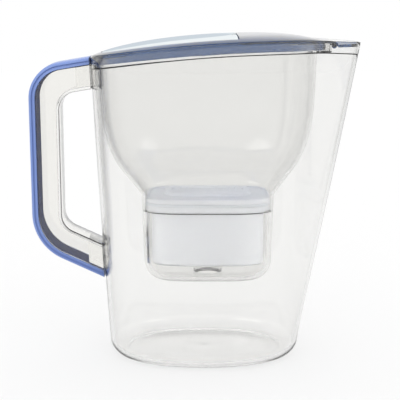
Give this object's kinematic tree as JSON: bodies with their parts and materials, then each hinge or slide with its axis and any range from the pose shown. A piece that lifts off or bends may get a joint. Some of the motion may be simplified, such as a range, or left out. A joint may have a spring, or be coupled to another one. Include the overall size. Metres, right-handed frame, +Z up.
{
  "type": "water filter pitcher with flip lid",
  "caption": "Clear oval water pitcher with closed handle, lift-out funnel and drop-in oval filter cartridge, under a blue lid with a flip filling flap and a small hinged spout flap.",
  "frame": {"origin": "middle of the oval base, on its flat underside", "axes": "+X towards the spout, +Z up, +Y across the jug; the handle is at -X"},
  "size_m": [0.27, 0.1408, 0.2684],
  "materials": {
    "clear_plastic": "crystal-clear injection-moulded plastic, polished",
    "blue_grip": "soft satin blue plastic strip",
    "white_plastic": "fine satin white moulded plastic",
    "seal_rubber": "smooth pale grey silicone",
    "screen_fleece": "white non-woven screen",
    "carbon": "black granular activated carbon",
    "resin": "amber ion-exchange beads",
    "blue_clear_plastic": "see-through blue moulded plastic, polished",
    "frosted_plastic": "frosted pale plastic, nearly white"
  },
  "bodies": {
    "jug_body": {"jug": "clear_plastic", "handle_frame": "clear_plastic", "handle_grip": "blue_grip"},
    "funnel_body": {"funnel": "clear_plastic"},
    "cartridge": {"cartridge_cup": "white_plastic", "cartridge_cap": "white_plastic", "cartridge_seal": "seal_rubber", "inlet_screen": "screen_fleece", "outlet_screen": "screen_fleece", "carbon_granules": "carbon", "resin_beads": "resin"},
    "lid": {"lid_shell": "blue_clear_plastic"},
    "filling_flap": {"flip_flap": "frosted_plastic"},
    "pouring_flap": {"spout_flap": "blue_clear_plastic"}
  },
  "joints": [
    {"name": "funnel_lift", "type": "slide", "parent": "jug_body", "child": "funnel_body", "axis": [0, 0, 1], "range_m": [0, 0.21]},
    {"name": "cartridge_lift", "type": "slide", "parent": "funnel_body", "child": "cartridge", "axis": [0, 0, 1], "range_m": [0, 0.1]},
    {"name": "lid_lift", "type": "slide", "parent": "funnel_body", "child": "lid", "axis": [0, 0, 1], "range_m": [0, 0.04]},
    {"name": "flip_flap_hinge", "type": "hinge", "parent": "lid", "child": "filling_flap", "pos_m": [0.024, 0, 0.26635], "axis": [0, 1, 0], "range_deg": [0, 95]},
    {"name": "spout_flap_hinge", "type": "hinge", "parent": "lid", "child": "pouring_flap", "pos_m": [0.1038, 0, 0.25862], "axis": [0, -1, 0], "range_deg": [0, 60]}
  ]
}
